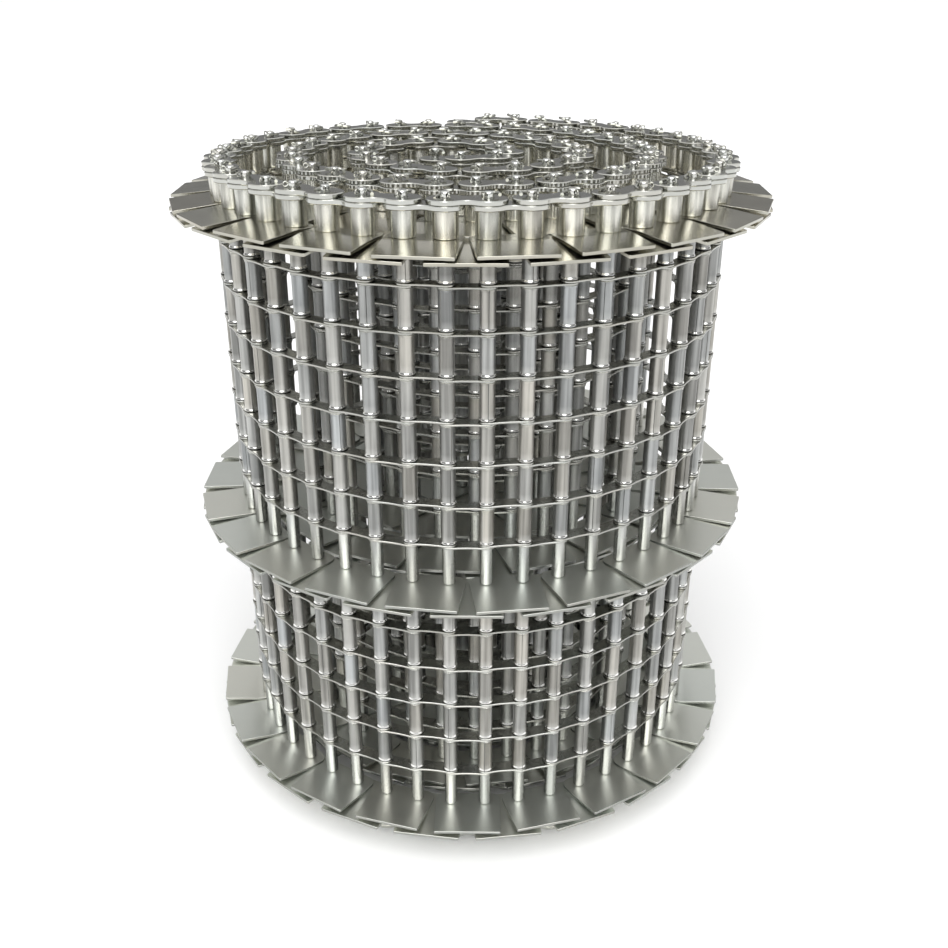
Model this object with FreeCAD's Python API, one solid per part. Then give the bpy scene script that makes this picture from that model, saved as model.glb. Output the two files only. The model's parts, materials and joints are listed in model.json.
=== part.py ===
"""Chain-edge wire mesh conveyor belt, rolled into a coil that stands on the ends of its cross rods.

The belt is a row of cross rods, one chain pitch apart. Each rod carries, from end to end, a chain
plate stack, a roller, a ring of overlapping guard plates, spacer tubes with thin mesh links between
them, a second ring of guard plates, more tubes and links, a third ring, a roller and a chain plate
stack. Every second pitch is an inner section and the others are outer sections, so the plates and
links of neighbouring sections lie in two layers on the rod that they share.

Stations are numbered along the belt from its free outer end. Station 0 is the open hole for the rod
that joins the belt's two ends, and each later station holds a rod. Pitch n joins stations n and n + 1.
The last few pitches at the free end hang from one another on their rods, and the rest is wound up.
"""

import FreeCAD, Part
import math
import os

from FreeCAD import Placement, Rotation, Vector

# Belt, in millimetres
PITCH = 38.1
ROD_COUNT = 103
FREE_PITCHES = 7

# Coil: round turns, wound clockwise seen from above. At the back, over an angle, the belt steps in from
# each turn to the next, and its free end lies there too
OUTER_RADIUS = 272.6
TURN_SPACING = 77.0
STEP_ANGLE = math.radians(150.0)
BACK_HEADING = math.radians(90.0)
END_HEADING = math.radians(92.8)
LARGEST_STEP = math.radians(90.0)
STEP_ACCURACY = 1e-9

# Cross rods and the split pins through their ends
ROD_DIAMETER = 9.0
ROD_CHAMFER = 0.8
ROD_STUB = 6.2
SPLIT_PIN_HOLE = 3.2
SPLIT_PIN_WIRE = 2.6
SPLIT_PIN_LEG = 3.0
SPLIT_PIN_SPREAD = 20.0
SPLIT_PIN_EYE = 6.6
SPLIT_PIN_EYE_PLATE = 3.0
SPLIT_PIN_EYE_HOLE = 2.8
SPLIT_PIN_SWING = math.radians(35.0)
SPLIT_PIN_UNEVENNESS = 2.4

# Fits: the hinge hole over its rod, and the play between stacked pieces
HINGE_HOLE = ROD_DIAMETER + 0.1
PLAY = 0.1

# Roller chain edge
ROLLER_DIAMETER = 23.6
ROLLER_LENGTH = 25.4
ROLLER_CHAMFER = 0.5
CHAIN_PLATE = 4.6
INNER_LOBE = 35.5
OUTER_LOBE = 35.0
CHAIN_WAIST = 22.0

# Guard plates. Past a bend line in front of the rods they slope by a drop at the rim, which is given for
# the upper and the lower layer of a ring. Those without a drop and those of the tight inner turns are flat
GUARD_PLATE = 3.0
SLOPING_PITCHES = 70
GUARD_BENDS = {"upper": 12.0, "lower": 9.0}
GUARD_DROPS = {
    "bottom": {"upper": -5.0},
    "middle": {"upper": 0.5, "lower": 3.2},
    "top": {"upper": 4.1, "lower": 6.6},
}
GUARD_WIDTH = 73.0
GUARD_REACH_OUT = 54.0
GUARD_REACH_IN = 12.5
GUARD_OUTER_CORNER = 1.5
GUARD_INNER_CORNER = 10.0

# Mesh links and the tubes between them. A few neighbouring rows of links share a node
LINK = 2.0
ROWS_IN_NODE = 2
LINK_LOBE = 18.0
LINK_WAIST = 15.0
TUBE_DIAMETER = 15.2
TUBE_BORE = 11.2
NARROW_TUBE_DIAMETER = 13.4
NARROW_TUBE_BORE = 10.0

# Bands of mesh, each measured from the top of one guard ring to the top of the next
LOWER_BAND = 286.5
LOWER_ROWS = 5
LOWER_ROW_STEP = 45.7
UPPER_BAND = 353.0
UPPER_ROWS = 7
UPPER_ROW_STEP = 44.3

# Heights of the stack on a rod, from the floor up
OUTER_PLATE_LOW = ROD_STUB
INNER_PLATE_LOW = OUTER_PLATE_LOW + CHAIN_PLATE + PLAY
ROLLER_LOW = INNER_PLATE_LOW + CHAIN_PLATE + PLAY
BOTTOM_RING = ROLLER_LOW + ROLLER_LENGTH + PLAY
GUARD_RING = 2 * GUARD_PLATE + PLAY
BOTTOM_RING_TOP = BOTTOM_RING + GUARD_RING
MIDDLE_RING_TOP = BOTTOM_RING_TOP + LOWER_BAND
TOP_RING_TOP = MIDDLE_RING_TOP + UPPER_BAND
ROLLER_HIGH = TOP_RING_TOP + PLAY
INNER_PLATE_HIGH = ROLLER_HIGH + ROLLER_LENGTH + PLAY
OUTER_PLATE_HIGH = INNER_PLATE_HIGH + CHAIN_PLATE + PLAY
ROD_LENGTH = OUTER_PLATE_HIGH + CHAIN_PLATE + ROD_STUB
SPLIT_PIN_HEIGHTS = (ROD_STUB / 2, ROD_LENGTH - ROD_STUB / 2)

UPRIGHT = Vector(0, 0, 1)
CUT_PAST = 1.0
NEAR = 0.01


def coil_point(turned):
    """The point of the coil that lies an angle along the belt from its free end."""
    heading = END_HEADING - turned
    past_back = BACK_HEADING - heading
    step = round(past_back / math.tau)
    share = (past_back - step * math.tau) / STEP_ANGLE
    share = min(max(share, -0.5), 0.5)
    turns_in = step - 0.5 + math.sin(math.pi * share) / 2
    radius = OUTER_RADIUS - TURN_SPACING * turns_in
    return Vector(radius * math.cos(heading), radius * math.sin(heading), 0)


def next_station(turned):
    """The angle one chord of the chain's pitch further in."""
    start = coil_point(turned)
    near, far = turned, turned + LARGEST_STEP
    while far - near > STEP_ACCURACY:
        middle = (near + far) / 2
        if (coil_point(middle) - start).Length < PITCH:
            near = middle
        else:
            far = middle
    return near


def stations():
    """The open hole at the free end, then every rod."""
    turned, points = 0.0, [coil_point(0.0)]
    for _ in range(ROD_COUNT):
        turned = next_station(turned)
        points.append(coil_point(turned))
    return points


def put(shape, point, height, heading=0.0):
    """A copy of a shape on a station, turned about the rod's line."""
    copy = shape.copy()
    copy.Placement = Placement(Vector(point.x, point.y, height), Rotation(UPRIGHT, math.degrees(heading)))
    return copy


def upright_hole(diameter, length, x=0.0):
    """A round cutter that reaches past both ends of what it cuts."""
    return Part.makeCylinder(diameter / 2, length + 2 * CUT_PAST, Vector(x, 0, -CUT_PAST))


def tube(outer, bore, length):
    """A plain round tube that stands on its end."""
    return Part.makeCylinder(outer / 2, length).cut(upright_hole(bore, length))


def roller():
    """A chain roller with its two rims broken."""
    body = Part.makeCylinder(ROLLER_DIAMETER / 2, ROLLER_LENGTH)
    rims = [edge for edge in body.Edges if isinstance(edge.Curve, Part.Circle)]
    return body.makeChamfer(ROLLER_CHAMFER, rims).cut(upright_hole(HINGE_HOLE, ROLLER_LENGTH))


def cross_rod():
    """A rod with chamfered ends and a cross hole for a split pin near each end."""
    body = Part.makeCylinder(ROD_DIAMETER / 2, ROD_LENGTH)
    rims = [edge for edge in body.Edges if isinstance(edge.Curve, Part.Circle)]
    body = body.makeChamfer(ROD_CHAMFER, rims)
    for height in SPLIT_PIN_HEIGHTS:
        start = Vector(0, -ROD_DIAMETER, height)
        body = body.cut(Part.makeCylinder(SPLIT_PIN_HOLE / 2, 2 * ROD_DIAMETER, start, Vector(0, 1, 0)))
    return body


def split_pin():
    """A split pin along Y: a flat eye on one side of the rod, and legs bent apart on the other."""
    foot = ROD_DIAMETER / 2 + PLAY
    half_eye = SPLIT_PIN_EYE / 2
    low = -SPLIT_PIN_EYE_PLATE / 2
    middle = foot + half_eye
    tail = foot + SPLIT_PIN_LEG / 2
    shank = Part.makeCylinder(SPLIT_PIN_WIRE / 2, foot + tail, Vector(0, -tail, 0), Vector(0, 1, 0))
    tip = Vector(-SPLIT_PIN_SPREAD / 2, -tail, 0)
    legs = Part.makeCylinder(SPLIT_PIN_LEG / 2, SPLIT_PIN_SPREAD, tip, Vector(1, 0, 0))
    left, right = Vector(-half_eye, middle, low), Vector(half_eye, middle, low)
    left_foot, right_foot = Vector(-half_eye, foot, low), Vector(half_eye, foot, low)
    outline = Part.Wire(
        [
            Part.makeLine(left_foot, right_foot),
            Part.makeLine(right_foot, right),
            Part.Arc(right, Vector(0, middle + half_eye, low), left).toShape(),
            Part.makeLine(left, left_foot),
        ]
    )
    eye = Part.Face(outline).extrude(Vector(0, 0, SPLIT_PIN_EYE_PLATE))
    opening = Part.makeCylinder(SPLIT_PIN_EYE_HOLE / 2, SPLIT_PIN_EYE_PLATE, Vector(0, middle, low))
    return shank.fuse([legs, eye.cut(opening)]).removeSplitter()


def hinged(plate, thickness):
    """A plate with the holes for the rods at its two stations."""
    for x in (0.0, PITCH):
        plate = plate.cut(upright_hole(HINGE_HOLE, thickness, x))
    return plate


def waisted_plate(lobe, waist, thickness):
    """A figure-of-eight plate over two stations: round lobes joined by hollow arcs tangent to them."""
    radius, narrow, half = lobe / 2, waist / 2, PITCH / 2
    hollow = (half**2 + narrow**2 - radius**2) / (2 * (radius - narrow))
    reach = radius / (radius + hollow)
    touch_x, touch_y = half * reach, (narrow + hollow) * reach
    left_high, left_low = Vector(touch_x, touch_y, 0), Vector(touch_x, -touch_y, 0)
    right_high, right_low = Vector(PITCH - touch_x, touch_y, 0), Vector(PITCH - touch_x, -touch_y, 0)
    outline = Part.Wire(
        [
            Part.Arc(left_high, Vector(-radius, 0, 0), left_low).toShape(),
            Part.Arc(left_low, Vector(half, -narrow, 0), right_low).toShape(),
            Part.Arc(right_low, Vector(PITCH + radius, 0, 0), right_high).toShape(),
            Part.Arc(right_high, Vector(half, narrow, 0), left_high).toShape(),
        ]
    )
    return hinged(Part.Face(outline).extrude(Vector(0, 0, thickness)), thickness)


def stands_at(edge, y):
    """Whether an edge is upright and lies at a distance from the line of the stations."""
    box = edge.BoundBox
    return box.ZLength > box.XLength + box.YLength and abs(box.Center.y - y) < NEAR


def guard_plate(*outer_points):
    """A rectangular plate over two stations. Its section goes from its inner edge to points further out."""
    left = (PITCH - GUARD_WIDTH) / 2
    section = ((-GUARD_REACH_IN, 0.0), *outer_points)
    under = [Vector(left, y, z) for y, z in section]
    over = [Vector(left, y, z + GUARD_PLATE) for y, z in reversed(section)]
    outline = Part.makePolygon([*under, *over, under[0]])
    plate = Part.Face(outline).extrude(Vector(GUARD_WIDTH, 0, 0))
    for y, radius in ((-GUARD_REACH_IN, GUARD_INNER_CORNER), (GUARD_REACH_OUT, GUARD_OUTER_CORNER)):
        plate = plate.makeFillet(radius, [edge for edge in plate.Edges if stands_at(edge, y)])
    return hinged(plate, GUARD_PLATE)


def row_heights(ring_top, rows, step):
    """The middle heights of a band's rows of mesh links."""
    return [ring_top + step * (row + 1) for row in range(rows)]


def band_tubes(band, ring_top, links, next_ring):
    """The node, low end and shape of each tube on a rod from one guard ring to the next, from below."""
    pile = LINK + PLAY / 2 + PLAY
    lows = [ring_top + PLAY] + [height + pile for height in links]
    highs = [height - pile for height in links] + [next_ring - PLAY]
    nodes = ["narrow_tubes"] + [f"{band}_tubes"] * (len(links) - 1) + ["end_tubes"]
    for node, low, high in zip(nodes, lows, highs):
        narrow = node == "narrow_tubes"
        outer = NARROW_TUBE_DIAMETER if narrow else TUBE_DIAMETER
        bore = NARROW_TUBE_BORE if narrow else TUBE_BORE
        yield node, low, tube(outer, bore, high - low)


LOWER_LINKS = row_heights(BOTTOM_RING_TOP, LOWER_ROWS, LOWER_ROW_STEP)
UPPER_LINKS = row_heights(MIDDLE_RING_TOP, UPPER_ROWS, UPPER_ROW_STEP)


class Belt:
    """Collects the belt's solids by node."""

    def __init__(self):
        self.nodes = {}
        self.points = stations()
        self.rod = cross_rod()
        self.roller = roller()
        self.pin = split_pin()
        self.flat_guard = guard_plate((GUARD_REACH_OUT, 0.0))
        self.guards = {
            (ring, layer): guard_plate((GUARD_BENDS[layer], 0.0), (GUARD_REACH_OUT, -drop))
            for ring, drops in GUARD_DROPS.items()
            for layer, drop in drops.items()
        }
        self.chain_plates = [
            waisted_plate(INNER_LOBE, CHAIN_WAIST, CHAIN_PLATE),
            waisted_plate(OUTER_LOBE, CHAIN_WAIST, CHAIN_PLATE),
        ]
        self.link = waisted_plate(LINK_LOBE, LINK_WAIST, LINK)
        self.tubes = [
            *band_tubes("lower", BOTTOM_RING_TOP, LOWER_LINKS, MIDDLE_RING_TOP - GUARD_RING),
            *band_tubes("upper", MIDDLE_RING_TOP, UPPER_LINKS, TOP_RING_TOP - GUARD_RING),
        ]

    def add(self, pitch, coil_node, kind, solid):
        """Adds a solid of a pitch to its node: one for each free section, or the coil's own."""
        free = pitch < FREE_PITCHES
        node = f"section_{FREE_PITCHES - pitch}_{kind}" if free else coil_node
        self.nodes.setdefault(node, []).append(solid)

    def add_pitch(self, pitch):
        """The chain plates, guard plates and mesh links of one pitch."""
        start, end = self.points[pitch], self.points[pitch + 1]
        heading = math.atan2(end.y - start.y, end.x - start.x)
        outer = pitch % 2

        layer = "outer" if outer else "inner"
        heights = (OUTER_PLATE_LOW, OUTER_PLATE_HIGH) if outer else (INNER_PLATE_LOW, INNER_PLATE_HIGH)
        for height in heights:
            plate = put(self.chain_plates[outer], start, height, heading)
            self.add(pitch, f"{layer}_chain_plates", "chain_plates", plate)

        for ring, top in (("bottom", BOTTOM_RING_TOP), ("middle", MIDDLE_RING_TOP), ("top", TOP_RING_TOP)):
            upper = outer == (ring == "bottom")
            height = top - GUARD_PLATE if upper else top - GUARD_RING
            guard = self.flat_guard
            if pitch < SLOPING_PITCHES:
                guard = self.guards.get((ring, "upper" if upper else "lower"), guard)
            self.add(pitch, f"{ring}_guard_plates", "guard_plates", put(guard, start, height, heading))

        lift = -PLAY / 2 - LINK if outer else PLAY / 2
        for row, height in enumerate(LOWER_LINKS + UPPER_LINKS):
            first = row // ROWS_IN_NODE * ROWS_IN_NODE + 1
            node = f"mesh_links_rows_{first}_to_{first + ROWS_IN_NODE - 1}"
            self.add(pitch, node, "mesh_links", put(self.link, start, height + lift, heading))

    def add_rod(self, station):
        """One rod with all that is threaded on it alone. It belongs to the outer section on it."""
        point = self.points[station]
        pitch = station if station % 2 else station - 1
        outward = math.atan2(point.y, point.x) - math.pi / 2
        turn = outward + SPLIT_PIN_SWING * math.sin(SPLIT_PIN_UNEVENNESS * station)
        self.add(pitch, "cross_rods", "rods", put(self.rod, point, 0, turn))
        for height in SPLIT_PIN_HEIGHTS:
            self.add(pitch, "split_pins", "split_pins", put(self.pin, point, height, turn))
        side = "a" if station % 2 else "b"
        for end, height in (("bottom", ROLLER_LOW), ("top", ROLLER_HIGH)):
            self.add(pitch, "rollers", f"{end}_roller_{side}", put(self.roller, point, height))
        for node, low, shape in self.tubes:
            self.add(pitch, node, "tubes", put(shape, point, low))

    def shapes(self):
        """Every node as one shape that holds its separate solids."""
        for pitch in range(ROD_COUNT):
            self.add_pitch(pitch)
        for station in range(1, ROD_COUNT + 1):
            self.add_rod(station)
        return {node: Part.makeCompound(solids) for node, solids in self.nodes.items()}


def main():
    os.makedirs("parts", exist_ok=True)
    for node, shape in Belt().shapes().items():
        shape.exportStep(f"parts/{node}.step")


main()
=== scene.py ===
"""Dresses a rolled-up chain-edge wire mesh conveyor belt.

Every piece of the belt is one of a few kinds, so each kind is modelled once, in millimetres, and set on
the belt's stations by a loop. Stations are the rods' places, numbered from the free end of the belt.
"""

import json
import math
import random

import bmesh
import bpy
import numpy as np
from mathutils import Matrix, Vector


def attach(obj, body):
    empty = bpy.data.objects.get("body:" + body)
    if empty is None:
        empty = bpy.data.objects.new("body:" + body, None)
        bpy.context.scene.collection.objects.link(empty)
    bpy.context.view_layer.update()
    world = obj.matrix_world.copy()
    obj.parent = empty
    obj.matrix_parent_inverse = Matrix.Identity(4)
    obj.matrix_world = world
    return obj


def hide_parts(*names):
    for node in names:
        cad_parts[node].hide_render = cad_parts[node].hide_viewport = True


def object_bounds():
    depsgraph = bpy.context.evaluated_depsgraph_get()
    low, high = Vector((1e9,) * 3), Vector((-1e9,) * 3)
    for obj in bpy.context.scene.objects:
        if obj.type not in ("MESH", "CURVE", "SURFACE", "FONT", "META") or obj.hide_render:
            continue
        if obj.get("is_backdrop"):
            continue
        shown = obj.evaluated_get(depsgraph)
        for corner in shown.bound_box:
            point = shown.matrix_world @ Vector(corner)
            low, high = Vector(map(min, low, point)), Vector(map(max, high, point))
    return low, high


MM = 0.001

# Belt and coil, the same driving dimensions as the solids, in millimetres
PITCH = 38.1
ROD_COUNT = 103
FREE_PITCHES = 7
OUTER_RADIUS = 272.6
TURN_SPACING = 77.0
STEP_ANGLE = math.radians(150.0)
BACK_HEADING = math.radians(90.0)
END_HEADING = math.radians(92.8)
LARGEST_STEP = math.radians(90.0)
STEP_ACCURACY = 1e-9

# Rods and split pins
ROD_DIAMETER = 9.0
ROD_ROUNDING = 2.2
ROD_STUB = 6.2
PIN_HOLE = 3.2
PIN_WIRE = 1.5
PIN_LEG_GAP = 0.78
PIN_EYE_RADIUS = 2.2
PIN_LEG_SWELL = 2.2

# A rod's pins swing from the line outwards by up to an angle, unevenly from rod to rod
PIN_SWING = math.radians(35.0)
PIN_UNEVENNESS = 2.4

# The lower pins lie level, and the upper ones roll by up to this angle
PIN_ROLLS = (0.0, math.radians(14.0))

# Points of a pin's leg from the rod's side to its tip: sideways, along the pin and up
PIN_LEG_BENDS = (
    (0.0, 0.0, 0.0),
    (0.8, -1.2, 0.0),
    (2.6, -1.9, 0.0),
    (5.4, -1.6, -0.2),
    (7.9, -0.4, -0.6),
    (9.3, 1.4, -1.0),
)

# Chain edge
PLAY = 0.1
HINGE_HOLE = ROD_DIAMETER + PLAY
ROLLER_DIAMETER = 23.6
ROLLER_LENGTH = 25.4
ROLLER_RIM = 1.1
CHAIN_PLATE = 4.6
CHAIN_PLATE_EDGE = 0.8
INNER_LOBE = 35.5
OUTER_LOBE = 35.0
CHAIN_WAIST = 22.0

# Guard plates. Past a rounded bend they slope by a drop at the rim, and each is tilted a little. The lines
# that divide a bend are given in shares of its rounding
GUARD_PLATE = 3.0
GUARD_EDGE = 0.25
SLOPING_PITCHES = 70
GUARD_BENDS = {"upper": 12.0, "lower": 9.0}
GUARD_DROPS = {
    "bottom": {"upper": -5.0},
    "middle": {"upper": 0.5, "lower": 3.2},
    "top": {"upper": 4.1, "lower": 6.6},
}
BEND_ROUNDING = 3.0
BEND_LINES = (-1.5, -1.0, -0.5, 0.0, 0.5, 1.0, 1.5)
GUARD_UNEVENNESS = math.radians(0.7)
GUARD_WIDTH = 73.0
GUARD_REACH_OUT = 54.0
GUARD_REACH_IN = 12.5
GUARD_OUTER_CORNER = 1.5
GUARD_INNER_CORNER = 10.0

# Mesh
LINK = 2.0
LINK_EDGE = 0.35
LINK_LOBE = 18.0
LINK_WAIST = 15.0
ROWS_IN_NODE = 2
TUBE_DIAMETER = 15.2
TUBE_BORE = 11.2
NARROW_TUBE_DIAMETER = 13.4
NARROW_TUBE_BORE = 10.0
NARROW_TUBE_EDGE = 0.8
SEAM_WIDTH = 0.8
SEAM_DEPTH = 0.7
LOWER_BAND = 286.5
LOWER_ROWS = 5
LOWER_ROW_STEP = 45.7
UPPER_BAND = 353.0
UPPER_ROWS = 7
UPPER_ROW_STEP = 44.3

# The lips of the tubes, their section given from the tube's end in shares of their width and height
TUBE_LIP = 0.8
TUBE_LIP_HEIGHT = 3.4
TUBE_LIP_SECTION = ((0.0, 0.0), (1.0, 0.2), (1.0, 0.45), (0.3, 0.75), (0.0, 1.0))

# Heights of the stack on a rod
OUTER_PLATE_LOW = ROD_STUB
INNER_PLATE_LOW = OUTER_PLATE_LOW + CHAIN_PLATE + PLAY
ROLLER_LOW = INNER_PLATE_LOW + CHAIN_PLATE + PLAY
BOTTOM_RING = ROLLER_LOW + ROLLER_LENGTH + PLAY
GUARD_RING = 2 * GUARD_PLATE + PLAY
BOTTOM_RING_TOP = BOTTOM_RING + GUARD_RING
MIDDLE_RING_TOP = BOTTOM_RING_TOP + LOWER_BAND
TOP_RING_TOP = MIDDLE_RING_TOP + UPPER_BAND
ROLLER_HIGH = TOP_RING_TOP + PLAY
INNER_PLATE_HIGH = ROLLER_HIGH + ROLLER_LENGTH + PLAY
OUTER_PLATE_HIGH = INNER_PLATE_HIGH + CHAIN_PLATE + PLAY
ROD_LENGTH = OUTER_PLATE_HIGH + CHAIN_PLATE + ROD_STUB
PIN_HEIGHTS = (ROD_STUB / 2, ROD_LENGTH - ROD_STUB / 2)
RING_TOPS = {"bottom": BOTTOM_RING_TOP, "middle": MIDDLE_RING_TOP, "top": TOP_RING_TOP}

# Smoothness of the meshes. A waisted outline has points on each lobe and on each waist
ROUND_SIDES = 24
ROLLER_SIDES = 40
HOLE_SIDES = 16
LINK_HOLE_SIDES = 12
CHAIN_PLATE_POINTS = (21, 9)
LINK_POINTS = (11, 5)
INNER_CORNER_POINTS = 6
OUTER_CORNER_POINTS = 4
ROD_END_POINTS = 5
ROLLER_RIM_STEPS = 4
PIN_EYE_POINTS = 17
PIN_WIRE_ROUNDNESS = 2
SHARP_ANGLE = math.radians(32.0)

# Camera, worked out from the photograph's frame, in pixels, millimetres and radians
IMAGE_SIDE = 948
FOCAL_PIXELS = 1077.3
AXIS_PIXEL = 471.0
SENSOR = 36.0
CAMERA_DISTANCE = 1226.0
CAMERA_RISE = 211.5
CAMERA_HEIGHT = TOP_RING_TOP + CAMERA_RISE
CAMERA_TIP = 0.434

# Studio, in metres and degrees. The dome is given as pairs of a height and a level
FLOOR_HALF = 40.0
FLOOR_COLOUR = (0.96, 0.96, 0.96)
DOME = ((0.0, 1.0), (0.01, 1.0), (0.05, 0.16), (0.25, 0.2), (0.5, 0.75), (1.0, 0.9))
KEY_AZIMUTH = -5.0
KEY_ELEVATION = 45.0
KEY_STRENGTH = 2.5
KEY_SPREAD = 70.0

# The tints that the pieces' steel lies between, dealt out by a shuffle of each piece's chance
TINTS = ((0.97, 0.99, 0.98), (1.0, 0.985, 0.945))
TUBE_TINTS = ((0.93, 0.965, 1.0), (1.0, 0.965, 0.9))
TINT_SHUFFLE = 17.3

# Painted shade, darkening the steel's colour where other pieces are within a reach, in metres
PAINTED_SHADE = (0.12, 0.12, 0.1)
PAINTED_SHADE_REACH = 0.1
PAINTED_SHADE_SPAN = (0.12, 0.45)
PAINTED_SHADE_SAMPLES = 6

# Textures, counted per metre, and the depth of their relief in metres. Drawn ones stretch along the rods
EVEN = (1.0, 1.0, 1.0)
DRAWN = (1.0, 1.0, 0.03)
GRAIN = 1500.0
FINE_GRAIN = 2500.0
GRAIN_DETAIL = 3.0
CLOUDS = 45.0
CLOUD_DETAIL = 2.0
STREAKS = 160.0
STREAK_DETAIL = 2.0
STREAK_SPAN = (0.35, 0.65)
RELIEF_DEPTH = 0.0002

# Shares of grain, clouds and the piece's own chance in its tone, and of grain and clouds in its gloss
TONE_SHARES = (0.35, 0.3, 0.35)
GLOSS_SHARES = (0.4, 0.6)

# Lips get a painted highlight, and more gloss, where they face upwards
PAINTED_LIP_HIGHLIGHT = (0.95, 0.95, 0.92)
LIP_HIGHLIGHT_SPAN = (0.08, 0.35)

SEED = 11

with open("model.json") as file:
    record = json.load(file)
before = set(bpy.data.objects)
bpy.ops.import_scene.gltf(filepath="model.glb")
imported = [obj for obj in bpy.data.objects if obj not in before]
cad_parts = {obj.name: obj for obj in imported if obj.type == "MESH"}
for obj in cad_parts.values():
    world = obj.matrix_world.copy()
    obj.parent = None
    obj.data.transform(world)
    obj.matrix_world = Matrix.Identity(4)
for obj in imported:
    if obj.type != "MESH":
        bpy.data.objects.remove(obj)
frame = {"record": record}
cad_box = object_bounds()
nodes_of_body = frame["record"]["behaviour"]["bodies"]
body_of_node = {node: body for body, nodes in nodes_of_body.items() for node in nodes}
dice = random.Random(SEED)


def coil_point(turned):
    """The point of the coil that lies an angle along the belt from its free end."""
    heading = END_HEADING - turned
    past_back = BACK_HEADING - heading
    step = round(past_back / math.tau)
    share = (past_back - step * math.tau) / STEP_ANGLE
    share = min(max(share, -0.5), 0.5)
    turns_in = step - 0.5 + math.sin(math.pi * share) / 2
    radius = OUTER_RADIUS - TURN_SPACING * turns_in
    return Vector((radius * math.cos(heading), radius * math.sin(heading), 0))


def next_station(turned):
    """The angle one chord of the chain's pitch further in."""
    start = coil_point(turned)
    near, far = turned, turned + LARGEST_STEP
    while far - near > STEP_ACCURACY:
        middle = (near + far) / 2
        if (coil_point(middle) - start).length < PITCH:
            near = middle
        else:
            far = middle
    return near


def stations():
    """The open hole at the free end, then every rod."""
    turned, points = 0.0, [coil_point(0.0)]
    for _ in range(ROD_COUNT):
        turned = next_station(turned)
        points.append(coil_point(turned))
    return points


# Prototype meshes


def mesh_of(name, points, faces):
    mesh = bpy.data.meshes.new(name)
    mesh.from_pydata(points, [], faces)
    mesh.validate()
    return mesh


def lathe(name, profile, sides=ROUND_SIDES, seam=None):
    """A ring: a closed loop of (radius, height) points turned about Z, with a groove for a seam."""
    outer = max(radius for radius, _ in profile)
    bore = min(radius for radius, _ in profile)
    angles = [math.tau * i / sides for i in range(sides)]
    dips = [0.0] * sides
    if seam:
        width, depth = seam
        half = width / outer / 2
        angles[:1] = [-half, 0.0, half]
        dips[:1] = [0.0, depth, 0.0]
    points = []
    for radius, height in profile:
        share = (radius - bore) / (outer - bore)
        for angle, dip in zip(angles, dips):
            r = radius - dip * share
            points.append((r * math.cos(angle), r * math.sin(angle), height))
    count, loops = len(angles), len(profile)
    faces = []
    for i in range(loops):
        below, above = i * count, (i + 1) % loops * count
        for j in range(count):
            k = (j + 1) % count
            faces.append((below + j, below + k, above + k, above + j))
    return mesh_of(name, points, faces)


def narrow_tube_profile(length):
    """A narrow tube's section with its outer edges broken."""
    outer, bore, edge = NARROW_TUBE_DIAMETER / 2, NARROW_TUBE_BORE / 2, NARROW_TUBE_EDGE
    return [
        (bore, 0.0),
        (outer - edge, 0.0),
        (outer, edge),
        (outer, length - edge),
        (outer - edge, length),
        (bore, length),
    ]


def tube_profile(length):
    """A tube's section with its ends pressed out into small lips."""
    outer, bore = TUBE_DIAMETER / 2, TUBE_BORE / 2
    low = [(outer + TUBE_LIP * out, TUBE_LIP_HEIGHT * up) for out, up in TUBE_LIP_SECTION]
    high = [(radius, length - height) for radius, height in reversed(low)]
    return [(bore, 0.0), *low, *high, (bore, length)]


def roller_profile():
    """A roller's section with rounded rims."""
    rim, length, bore = ROLLER_RIM, ROLLER_LENGTH, HINGE_HOLE / 2
    corner = ROLLER_DIAMETER / 2 - rim
    turn = [math.pi / 2 * i / ROLLER_RIM_STEPS for i in range(ROLLER_RIM_STEPS + 1)]
    low = [(corner + rim * math.sin(a), rim - rim * math.cos(a)) for a in turn]
    high = [(corner + rim * math.cos(a), length - rim + rim * math.sin(a)) for a in turn]
    return [(bore, 0.0), *low, *high, (bore, length)]


def arc(centre, radius, start, end, count):
    """Points of an arc in the plan, its two ends among them."""
    turns = [start + (end - start) * i / (count - 1) for i in range(count)]
    return [(centre[0] + radius * math.cos(a), centre[1] + radius * math.sin(a)) for a in turns]


def circle(x, radius, count):
    return arc((x, 0.0), radius, 0.0, math.tau * (count - 1) / count, count)


def waisted_outline(lobe, waist, lobe_points, waist_points):
    """A figure of eight over two stations: round lobes joined by hollow arcs tangent to them."""
    radius, narrow, half = lobe / 2, waist / 2, PITCH / 2
    hollow = (half**2 + narrow**2 - radius**2) / (2 * (radius - narrow))
    lean = math.atan2(narrow + hollow, half)
    right = arc((PITCH, 0.0), radius, lean - math.pi, math.pi - lean, lobe_points)
    left = arc((0.0, 0.0), radius, lean, math.tau - lean, lobe_points)
    above = arc((half, narrow + hollow), hollow, -lean, lean - math.pi, waist_points)[1:-1]
    below = arc((half, -narrow - hollow), hollow, math.pi - lean, lean, waist_points)[1:-1]
    return [*right, *above, *left, *below]


def guard_outline():
    low, high = (PITCH - GUARD_WIDTH) / 2, (PITCH + GUARD_WIDTH) / 2
    quarter = math.pi / 2
    inner, outer = GUARD_INNER_CORNER, GUARD_OUTER_CORNER
    near, far = -GUARD_REACH_IN + inner, GUARD_REACH_OUT - outer
    return [
        *arc((low + inner, near), inner, 2 * quarter, 3 * quarter, INNER_CORNER_POINTS),
        *arc((high - inner, near), inner, 3 * quarter, 4 * quarter, INNER_CORNER_POINTS),
        *arc((high - outer, far), outer, 0.0, quarter, OUTER_CORNER_POINTS),
        *arc((low + outer, far), outer, quarter, 2 * quarter, OUTER_CORNER_POINTS),
    ]


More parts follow.
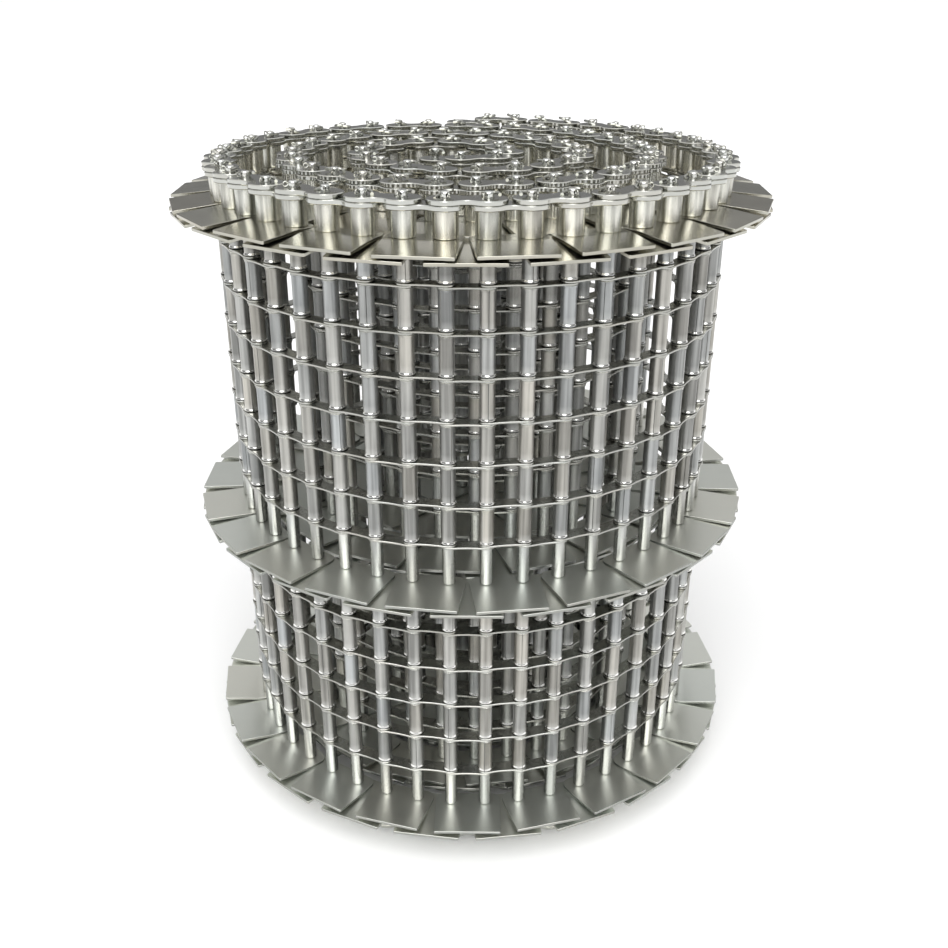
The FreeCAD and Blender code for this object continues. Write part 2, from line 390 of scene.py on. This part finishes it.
def plate(name, outline, thickness, edge, hole_points=HOLE_SIDES):
    """A flat plate with two rod holes and broken edges, lying on z = 0."""
    curve = bpy.data.curves.new(name, "CURVE")
    curve.dimensions = "2D"
    curve.fill_mode = "BOTH"
    holes = [circle(x, HINGE_HOLE / 2, hole_points) for x in (0.0, PITCH)]
    for loop in (outline, *holes):
        spline = curve.splines.new("POLY")
        spline.points.add(len(loop) - 1)
        spline.use_cyclic_u = True
        for point, (x, y) in zip(spline.points, loop):
            point.co = (x, y, 0.0, 1.0)
    curve.extrude = thickness / 2 - edge
    curve.bevel_depth = edge
    curve.bevel_resolution = 0
    curve.offset = -edge
    holder = bpy.data.objects.new(name, curve)
    mesh = bpy.data.meshes.new_from_object(holder)
    mesh.transform(Matrix.Translation((0, 0, thickness / 2)))
    bpy.data.objects.remove(holder)
    return mesh


def chain_plate(name, lobe):
    outline = waisted_outline(lobe, CHAIN_WAIST, *CHAIN_PLATE_POINTS)
    return plate(name, outline, CHAIN_PLATE, CHAIN_PLATE_EDGE)


def bent(mesh, bend, drop):
    """Slopes a plate from a rounded bend line, so that its outer rim drops."""
    slope = drop / (GUARD_REACH_OUT - bend)
    work = bmesh.new()
    work.from_mesh(mesh)
    for line in BEND_LINES:
        place = (0, bend + line * BEND_ROUNDING, 0)
        bmesh.ops.bisect_plane(
            work, geom=[*work.verts, *work.edges, *work.faces], plane_co=place, plane_no=(0, 1, 0)
        )
    for vert in work.verts:
        past = vert.co.y - bend
        if past > BEND_ROUNDING:
            vert.co.z -= slope * past
        elif past > -BEND_ROUNDING:
            vert.co.z -= slope * (past + BEND_ROUNDING) ** 2 / (4 * BEND_ROUNDING)
    work.to_mesh(mesh)
    work.free()
    return mesh


def evaluated(holder):
    """The mesh of an object with its modifiers applied. The object is removed."""
    bpy.context.view_layer.update()
    mesh = bpy.data.meshes.new_from_object(holder.evaluated_get(bpy.context.evaluated_depsgraph_get()))
    bpy.data.objects.remove(holder)
    return mesh


def in_scene(name, data):
    """A new object of a mesh, lamp or camera."""
    holder = bpy.data.objects.new(name, data)
    bpy.context.scene.collection.objects.link(holder)
    return holder


def cylinder(name, profile, sides=ROUND_SIDES):
    """A solid of revolution from an open profile of (radius, height) points, closed by flat ends."""
    points = [
        (radius * math.cos(math.tau * i / sides), radius * math.sin(math.tau * i / sides), height)
        for radius, height in profile
        for i in range(sides)
    ]
    faces = [tuple(reversed(range(sides))), tuple(range(len(points) - sides, len(points)))]
    for ring in range(len(profile) - 1):
        low, high = ring * sides, (ring + 1) * sides
        for i in range(sides):
            k = (i + 1) % sides
            faces.append((low + i, low + k, high + k, high + i))
    return mesh_of(name, points, faces)


def rod_mesh():
    """A rod with rounded ends, drilled across for its split pins."""
    corner = ROD_DIAMETER / 2 - ROD_ROUNDING
    centre = (corner, ROD_LENGTH - ROD_ROUNDING)
    rounding = arc(centre, ROD_ROUNDING, 0.0, math.pi / 2, ROD_END_POINTS)
    low = [(radius, ROD_LENGTH - height) for radius, height in reversed(rounding)]
    middle = [(ROD_DIAMETER / 2, ROD_STUB), (ROD_DIAMETER / 2, ROD_LENGTH - ROD_STUB)]
    profile = [*low, *middle, *rounding]
    rod = in_scene("rod", cylinder("rod", profile))
    hole = [(PIN_HOLE / 2, -ROD_DIAMETER), (PIN_HOLE / 2, ROD_DIAMETER)]
    drill_mesh = cylinder("drill", hole, HOLE_SIDES)
    drills = []
    for height in PIN_HEIGHTS:
        drill = in_scene("drill", drill_mesh)
        drill.matrix_world = Matrix.Translation((0, 0, height)) @ Matrix.Rotation(math.pi / 2, 4, "X")
        cut = rod.modifiers.new("drill", "BOOLEAN")
        cut.operation = "DIFFERENCE"
        cut.object = drill
        drills.append(drill)
    mesh = evaluated(rod)
    for drill in drills:
        bpy.data.objects.remove(drill)
    return mesh


def pin_leg(side):
    """Points of a bent leg from the hole to its tip, on one side of the rod."""
    lift = -side * PIN_LEG_GAP
    return [(side * x, y - ROD_DIAMETER / 2, lift + z) for x, y, z in PIN_LEG_BENDS]


def pin_mesh():
    """A split pin along Y: a wire round an upright eye, with two legs bent apart past the rod."""
    middle = ROD_DIAMETER / 2 + PLAY + PIN_EYE_RADIUS
    lean = math.asin(PIN_LEG_GAP / PIN_EYE_RADIUS)
    eye = arc((middle, 0.0), PIN_EYE_RADIUS, lean - math.pi, math.pi - lean, PIN_EYE_POINTS)
    legs = [pin_leg(side) for side in (1, -1)]
    route = [*reversed(legs[0]), *[(0.0, y, z) for y, z in eye], *legs[1]]
    bent_points = len(legs[0]) - 1
    curve = bpy.data.curves.new("pin", "CURVE")
    curve.dimensions = "3D"
    curve.bevel_depth = PIN_WIRE / 2
    curve.bevel_resolution = PIN_WIRE_ROUNDNESS
    curve.use_fill_caps = True
    spline = curve.splines.new("POLY")
    spline.points.add(len(route) - 1)
    for i, (point, place) in enumerate(zip(spline.points, route)):
        point.co = (*place, 1.0)
        if not bent_points <= i < len(route) - bent_points:
            point.radius = PIN_LEG_SWELL
    holder = bpy.data.objects.new("pin", curve)
    mesh = bpy.data.meshes.new_from_object(holder)
    bpy.data.objects.remove(holder)
    return mesh


# Materials


class Graph:
    """A material's nodes, linked as they are made."""

    def __init__(self, name):
        self.material = bpy.data.materials.new(name)
        self.material.use_nodes = True
        self.tree = self.material.node_tree
        self.tree.nodes.clear()
        self.output = self.tree.nodes.new("ShaderNodeOutputMaterial")

    def add(self, kind, inputs=(), **settings):
        node = self.tree.nodes.new(kind)
        for key, value in settings.items():
            setattr(node, key, value)
        for key, value in dict(inputs).items():
            self.put(node.inputs[key], value)
        return node

    def put(self, socket, value):
        if isinstance(value, bpy.types.NodeSocket):
            self.tree.links.new(value, socket)
        else:
            socket.default_value = value

    def math(self, operation, a, b):
        return self.add("ShaderNodeMath", {0: a, 1: b}, operation=operation).outputs[0]

    def between(self, value, low, high, span=(0.0, 1.0)):
        """A value from a span, spread over a range."""
        ends = {"From Min": span[0], "From Max": span[1], "To Min": low, "To Max": high}
        return self.add("ShaderNodeMapRange", {"Value": value, **ends}).outputs["Result"]

    def weighed(self, values, shares):
        """The sum of some values, each taken at its share."""
        total = 0.0
        for value, share in zip(values, shares):
            total = self.math("ADD", total, self.math("MULTIPLY", value, share))
        return total

    def upward(self):
        """How far the surface faces up, from -1 to 1."""
        normal = self.add("ShaderNodeNewGeometry").outputs["Normal"]
        return self.add("ShaderNodeSeparateXYZ", {"Vector": normal}).outputs["Z"]

    def noise(self, scale, detail, stretch=EVEN):
        place = self.add("ShaderNodeTexCoord").outputs["Object"]
        spread = self.add("ShaderNodeMapping", {"Vector": place, "Scale": stretch}).outputs["Vector"]
        node = self.add("ShaderNodeTexNoise", {"Vector": spread, "Scale": scale, "Detail": detail})
        return node.outputs["Fac"]

    def mix(self, share, a, b, blend="MIX"):
        node = self.add("ShaderNodeMix", data_type="RGBA", blend_type=blend)
        for socket, value in ((node.inputs[0], share), (node.inputs[6], a), (node.inputs[7], b)):
            self.put(socket, value)
        return node.outputs[2]

    def surface(self, shader):
        self.tree.links.new(shader, self.output.inputs["Surface"])
        return self.material


def steel(
    name, dark, light, rough, grain=GRAIN, stretch=EVEN, tints=TINTS,
    relief=0.0, turned=0.0, crowd_shade=0.0, streaks=0.0, rim=1.0, lip_gloss_and_highlight=0.0,
):
    """Stainless steel: each piece has its own tone and tint, with fine grain, clouds and uneven gloss.

    Turned steel spreads its gloss up and down. Steel with crowd shade has painted shade where pieces
    crowd together, streaked steel has bands along the rods, and sheet has its side faces painted darker,
    partly a duller cut edge and partly painted shade. Lips get a painted highlight and more gloss where
    they face up."""
    g = Graph(name)
    piece = g.add("ShaderNodeNewGeometry").outputs["Random Per Island"]
    fine = g.noise(grain, GRAIN_DETAIL, stretch)
    cloud = g.noise(CLOUDS, CLOUD_DETAIL)
    tone = g.weighed((fine, cloud, piece), TONE_SHARES)
    colour = g.mix(tone, (*dark, 1.0), (*light, 1.0))
    shuffled = g.math("FRACT", g.math("MULTIPLY", piece, TINT_SHUFFLE), 0.0)
    tint = g.mix(shuffled, (*tints[0], 1.0), (*tints[1], 1.0))
    colour = g.mix(1.0, colour, tint, "MULTIPLY")
    if streaks:
        band = g.noise(STREAKS, STREAK_DETAIL, DRAWN)
        colour = g.mix(1.0, colour, g.between(band, 1.0 - streaks, 1.0, STREAK_SPAN), "MULTIPLY")
    # Faces that don't face up or down are painted darker: partly a duller cut edge, partly painted shade
    if rim < 1.0:
        flat = g.math("ABSOLUTE", g.upward(), 0.0)
        colour = g.mix(1.0, colour, g.between(flat, rim, 1.0), "MULTIPLY")
    # Painted shade: the colour darkens where other pieces crowd close
    if crowd_shade:
        reach = {"Distance": PAINTED_SHADE_REACH}
        openness = g.add("ShaderNodeAmbientOcclusion", reach, samples=PAINTED_SHADE_SAMPLES).outputs["AO"]
        open_share = g.between(openness, 0.0, 1.0, PAINTED_SHADE_SPAN)
        crowded = [1.0 - crowd_shade * (1.0 - level) for level in PAINTED_SHADE]
        colour = g.mix(open_share, g.mix(1.0, colour, (*crowded, 1.0), "MULTIPLY"), colour)
    roughness = g.between(g.weighed((fine, cloud), GLOSS_SHARES), *rough)
    # A painted highlight on upward-facing lips, with lower roughness there as well
    if lip_gloss_and_highlight:
        lip = g.between(g.upward(), 0.0, 1.0, LIP_HIGHLIGHT_SPAN)
        colour = g.mix(lip, colour, (*PAINTED_LIP_HIGHLIGHT, 1.0))
        roughness = g.math("SUBTRACT", roughness, g.math("MULTIPLY", lip, lip_gloss_and_highlight))
    inputs = {"Base Color": colour, "Metallic": 1.0, "Roughness": roughness}
    if relief:
        bump = g.add("ShaderNodeBump", {"Strength": relief, "Distance": RELIEF_DEPTH, "Height": fine})
        inputs["Normal"] = bump.outputs["Normal"]
    if turned:
        inputs["Anisotropic"] = turned
        inputs["Tangent"] = g.add("ShaderNodeCombineXYZ", {"Z": 1.0}).outputs["Vector"]
    return g.surface(g.add("ShaderNodeBsdfPrincipled", inputs).outputs["BSDF"])


def matt(name, colour):
    g = Graph(name)
    return g.surface(g.add("ShaderNodeBsdfDiffuse", {"Color": (*colour, 1.0)}).outputs["BSDF"])


# Belt


def placed(point, height, heading=0.0, tilt=0.0):
    """A piece's place on the belt, in millimetres."""
    turn = Matrix.Rotation(heading, 4, "Z") @ Matrix.Rotation(tilt, 4, "X")
    return Matrix.Translation((point.x, point.y, height)) @ turn


def row_heights(ring_top, rows, step):
    return [ring_top + step * (row + 1) for row in range(rows)]


LOWER_LINKS = row_heights(BOTTOM_RING_TOP, LOWER_ROWS, LOWER_ROW_STEP)
UPPER_LINKS = row_heights(MIDDLE_RING_TOP, UPPER_ROWS, UPPER_ROW_STEP)


class Belt:
    """Collects, for each node of the frame, the copies of prototypes that dress it."""

    def __init__(self):
        self.copies = {}
        self.points = stations()
        self.make_materials()
        self.make_prototypes()

    def make_materials(self):
        # crowd_shade paints shade into a steel's colour where pieces crowd together
        self.rod_steel = steel(
            "rod_steel", (0.6, 0.6, 0.58), (0.85, 0.85, 0.83), (0.12, 0.22), crowd_shade=0.7
        )
        self.pin_steel = steel("pin_steel", (0.34, 0.34, 0.32), (0.52, 0.52, 0.49), (0.14, 0.26))
        self.roller_steel = steel(
            "roller_steel", (0.8, 0.79, 0.73), (0.96, 0.95, 0.9), (0.2, 0.3),
            stretch=DRAWN, turned=0.9, streaks=0.5,
        )
        # rim sets how much darker side faces are painted, partly a duller cut edge and partly painted shade
        self.plate_steel = steel(
            "plate_steel", (0.62, 0.62, 0.59), (0.8, 0.8, 0.77), (0.12, 0.24), rim=0.75
        )
        # The top ring's guard plates use a darker, warmer, glossier copy of the guard steel; its darker
        # warm tone is a painted reflection
        self.top_guard_steel_painted_warm = steel(
            "top_guard_steel_painted_warm", (0.54, 0.52, 0.46), (0.68, 0.66, 0.59), (0.16, 0.26), rim=0.75
        )
        self.guard_steel = steel(
            "guard_steel", (0.67, 0.68, 0.645), (0.82, 0.83, 0.79), (0.32, 0.42), rim=0.5
        )
        self.tube_steel = steel(
            "tube_steel", (0.34, 0.34, 0.33), (0.68, 0.68, 0.66), (0.36, 0.48),
            FINE_GRAIN, DRAWN, TUBE_TINTS, relief=0.15, crowd_shade=1.0, streaks=0.5, lip_gloss_and_highlight=0.3,
        )
        self.narrow_steel = steel(
            "narrow_steel", (0.58, 0.585, 0.58), (0.8, 0.805, 0.795), (0.22, 0.32),
            FINE_GRAIN, DRAWN, turned=0.8, crowd_shade=0.5, streaks=0.45,
        )
        self.link_steel = steel(
            "link_steel", (0.48, 0.48, 0.46), (0.68, 0.68, 0.65), (0.2, 0.34), crowd_shade=0.8, rim=0.75
        )

    def make_prototypes(self):
        self.rod = rod_mesh()
        self.pin = pin_mesh()
        self.roller = lathe("roller", roller_profile(), ROLLER_SIDES)
        self.chain_plates = [chain_plate("inner_plate", INNER_LOBE), chain_plate("outer_plate", OUTER_LOBE)]
        self.flat_guard = plate("guard", guard_outline(), GUARD_PLATE, GUARD_EDGE)
        self.guards = {
            (ring, layer): bent(self.flat_guard.copy(), GUARD_BENDS[layer], drop)
            for ring, drops in GUARD_DROPS.items()
            for layer, drop in drops.items()
        }
        link_outline = waisted_outline(LINK_LOBE, LINK_WAIST, *LINK_POINTS)
        self.link = plate("link", link_outline, LINK, LINK_EDGE, LINK_HOLE_SIDES)
        self.tubes = [
            *self.band_tubes("lower", BOTTOM_RING_TOP, LOWER_LINKS, MIDDLE_RING_TOP - GUARD_RING),
            *self.band_tubes("upper", MIDDLE_RING_TOP, UPPER_LINKS, TOP_RING_TOP - GUARD_RING),
        ]

    def band_tubes(self, band, ring_top, links, next_ring):
        """The node, low end, prototype and steel of each tube from one guard ring to the next."""
        pile = LINK + PLAY / 2 + PLAY
        lows = [ring_top + PLAY] + [height + pile for height in links]
        highs = [height - pile for height in links] + [next_ring - PLAY]
        nodes = ["narrow_tubes"] + [f"{band}_tubes"] * (len(links) - 1) + ["end_tubes"]
        for node, low, high in zip(nodes, lows, highs):
            if node == "narrow_tubes":
                profile = narrow_tube_profile(high - low)
                yield node, low, lathe("narrow_tube", profile), self.narrow_steel
            else:
                profile = tube_profile(high - low)
                yield node, low, lathe("tube", profile, seam=(SEAM_WIDTH, SEAM_DEPTH)), self.tube_steel

    def add(self, pitch, coil_node, kind, mesh, material, place):
        free = pitch < FREE_PITCHES
        node = f"section_{FREE_PITCHES - pitch}_{kind}" if free else coil_node
        self.copies.setdefault(node, []).append((mesh, material, place))

    def add_pitch(self, pitch):
        """The chain plates, guard plates and mesh links of one pitch."""
        start, end = self.points[pitch], self.points[pitch + 1]
        heading = math.atan2(end.y - start.y, end.x - start.x)
        outer = pitch % 2

        layer = "outer" if outer else "inner"
        heights = (OUTER_PLATE_LOW, OUTER_PLATE_HIGH) if outer else (INNER_PLATE_LOW, INNER_PLATE_HIGH)
        for height in heights:
            place = placed(start, height, heading)
            mesh = self.chain_plates[outer]
            self.add(pitch, f"{layer}_chain_plates", "chain_plates", mesh, self.plate_steel, place)

        for ring, top in RING_TOPS.items():
            upper = outer == (ring == "bottom")
            height = top - GUARD_PLATE if upper else top - GUARD_RING
            place = placed(start, height, heading, dice.uniform(-GUARD_UNEVENNESS, GUARD_UNEVENNESS))
            mesh = self.flat_guard
            if pitch < SLOPING_PITCHES:
                mesh = self.guards.get((ring, "upper" if upper else "lower"), mesh)
            # The top ring takes the guard steel copy with the painted warm reflection
            material = self.top_guard_steel_painted_warm if ring == "top" else self.guard_steel
            self.add(pitch, f"{ring}_guard_plates", "guard_plates", mesh, material, place)

        lift = -PLAY / 2 - LINK if outer else PLAY / 2
        for row, height in enumerate(LOWER_LINKS + UPPER_LINKS):
            first = row // ROWS_IN_NODE * ROWS_IN_NODE + 1
            node = f"mesh_links_rows_{first}_to_{first + ROWS_IN_NODE - 1}"
            place = placed(start, height + lift, heading)
            self.add(pitch, node, "mesh_links", self.link, self.link_steel, place)

    def add_rod(self, station):
        """One rod with all that is threaded on it alone. It belongs to the outer section on it."""
        point = self.points[station]
        pitch = station if station % 2 else station - 1
        outward = math.atan2(point.y, point.x) - math.pi / 2
        turn = outward + PIN_SWING * math.sin(PIN_UNEVENNESS * station)
        self.add(pitch, "cross_rods", "rods", self.rod, self.rod_steel, placed(point, 0, turn))
        for height, limit in zip(PIN_HEIGHTS, PIN_ROLLS):
            roll = Matrix.Rotation(dice.uniform(-limit, limit), 4, "Y")
            place = placed(point, height, turn) @ roll
            self.add(pitch, "split_pins", "split_pins", self.pin, self.pin_steel, place)
        side = "a" if station % 2 else "b"
        for end, height in (("bottom", ROLLER_LOW), ("top", ROLLER_HIGH)):
            place = placed(point, height, dice.uniform(0, math.tau))
            self.add(pitch, "rollers", f"{end}_roller_{side}", self.roller, self.roller_steel, place)
        for node, low, mesh, material in self.tubes:
            place = placed(point, low, dice.uniform(0, math.tau))
            self.add(pitch, node, "tubes", mesh, material, place)

    def dress(self):
        for pitch in range(ROD_COUNT):
            self.add_pitch(pitch)
        for station in range(1, ROD_COUNT + 1):
            self.add_rod(station)
        for node, copies in self.copies.items():
            piece = joined(f"{node}_dressed", copies)
            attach(piece, body_of_node[node])
            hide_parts(node)


def read(items, name, kind, width=1):
    """One property of a mesh's items, as an array."""
    values = np.empty(len(items) * width, kind)
    items.foreach_get(name, values)
    return values.reshape(-1, width) if width > 1 else values


def joined(name, copies):
    """One object of many copies of prototypes, each with its own material and place."""
    groups = {}
    for mesh, material, place in copies:
        groups.setdefault((mesh, material), []).append(np.array(Matrix.Scale(MM, 4) @ place))
    materials = list({material: None for _, material in groups})
    points, corners, starts, slots = [], [], [], []
    point_count = corner_count = 0
    for (mesh, material), places in groups.items():
        places = np.array(places)
        base = read(mesh.vertices, "co", np.float32, 3)
        loops = read(mesh.loops, "vertex_index", np.int32)
        polygons = read(mesh.polygons, "loop_start", np.int32)
        order = np.arange(len(places))[:, None]
        turned = base @ places[:, :3, :3].transpose(0, 2, 1)
        points.append((turned + places[:, None, :3, 3]).reshape(-1, 3))
        corners.append((loops + order * len(base) + point_count).ravel())
        starts.append((polygons + order * len(loops) + corner_count).ravel())
        slots.append(np.full(len(polygons) * len(places), materials.index(material)))
        point_count += len(base) * len(places)
        corner_count += len(loops) * len(places)
    mesh = bpy.data.meshes.new(name)
    mesh.vertices.add(point_count)
    mesh.vertices.foreach_set("co", np.concatenate(points).astype(np.float32).ravel())
    mesh.loops.add(corner_count)
    mesh.loops.foreach_set("vertex_index", np.concatenate(corners).astype(np.int32))
    starts = np.concatenate(starts).astype(np.int32)
    mesh.polygons.add(len(starts))
    mesh.polygons.foreach_set("loop_start", starts)
    mesh.polygons.foreach_set("material_index", np.concatenate(slots).astype(np.int32))
    mesh.polygons.foreach_set("use_smooth", np.ones(len(starts), bool))
    mesh.update(calc_edges=True)
    mesh.set_sharp_from_angle(angle=SHARP_ANGLE)
    for material in materials:
        mesh.materials.append(material)
    return in_scene(name, mesh)


# Studio


def add_floor():
    corners = ((-1, -1), (1, -1), (1, 1), (-1, 1))
    mesh = mesh_of("floor", [(x * FLOOR_HALF, y * FLOOR_HALF, 0) for x, y in corners], [(0, 1, 2, 3)])
    mesh.materials.append(matt("floor", FLOOR_COLOUR))
    holder = in_scene("floor", mesh)
    holder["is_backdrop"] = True


def add_world():
    """A white horizon under a grey dome that brightens overhead."""
    world = bpy.data.worlds.new("studio")
    bpy.context.scene.world = world
    world.use_nodes = True
    tree = world.node_tree
    tree.nodes.clear()
    direction = tree.nodes.new("ShaderNodeTexCoord").outputs["Generated"]
    parts = tree.nodes.new("ShaderNodeSeparateXYZ")
    tree.links.new(direction, parts.inputs[0])
    ramp = tree.nodes.new("ShaderNodeValToRGB")
    tree.links.new(parts.outputs["Z"], ramp.inputs["Fac"])
    stops = ramp.color_ramp.elements
    while len(stops) < len(DOME):
        stops.new(1.0)
    for stop, (height, level) in zip(stops, DOME):
        stop.position = height
        stop.color = (level, level, level, 1.0)
    background = tree.nodes.new("ShaderNodeBackground")
    tree.links.new(ramp.outputs["Color"], background.inputs["Color"])
    output = tree.nodes.new("ShaderNodeOutputWorld")
    tree.links.new(background.outputs["Background"], output.inputs["Surface"])


def add_key():
    """A wide lamp. Azimuth 0 shines from the camera's side, and a negative one from further left."""
    lamp = bpy.data.lights.new("key", "SUN")
    lamp.energy = KEY_STRENGTH
    lamp.angle = math.radians(KEY_SPREAD)
    holder = in_scene("key", lamp)
    holder.rotation_euler = (math.radians(90.0 - KEY_ELEVATION), 0, math.radians(KEY_AZIMUTH))


def add_camera():
    camera = bpy.data.cameras.new("camera")
    camera.sensor_width = SENSOR
    camera.lens = FOCAL_PIXELS * SENSOR / IMAGE_SIDE
    camera.shift_x = (IMAGE_SIDE / 2 - AXIS_PIXEL) / IMAGE_SIDE
    holder = in_scene("camera", camera)
    holder.location = (0, -CAMERA_DISTANCE * MM, CAMERA_HEIGHT * MM)
    holder.rotation_euler = (math.pi / 2 - CAMERA_TIP, 0, 0)
    bpy.context.scene.camera = holder


Belt().dress()
add_floor()
add_world()
add_key()
add_camera()
bpy.context.scene.view_settings.view_transform = "Standard"

boxes = {"cad": cad_box, "visual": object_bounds()}
{name: [list(corner) for corner in box] for name, box in boxes.items()}
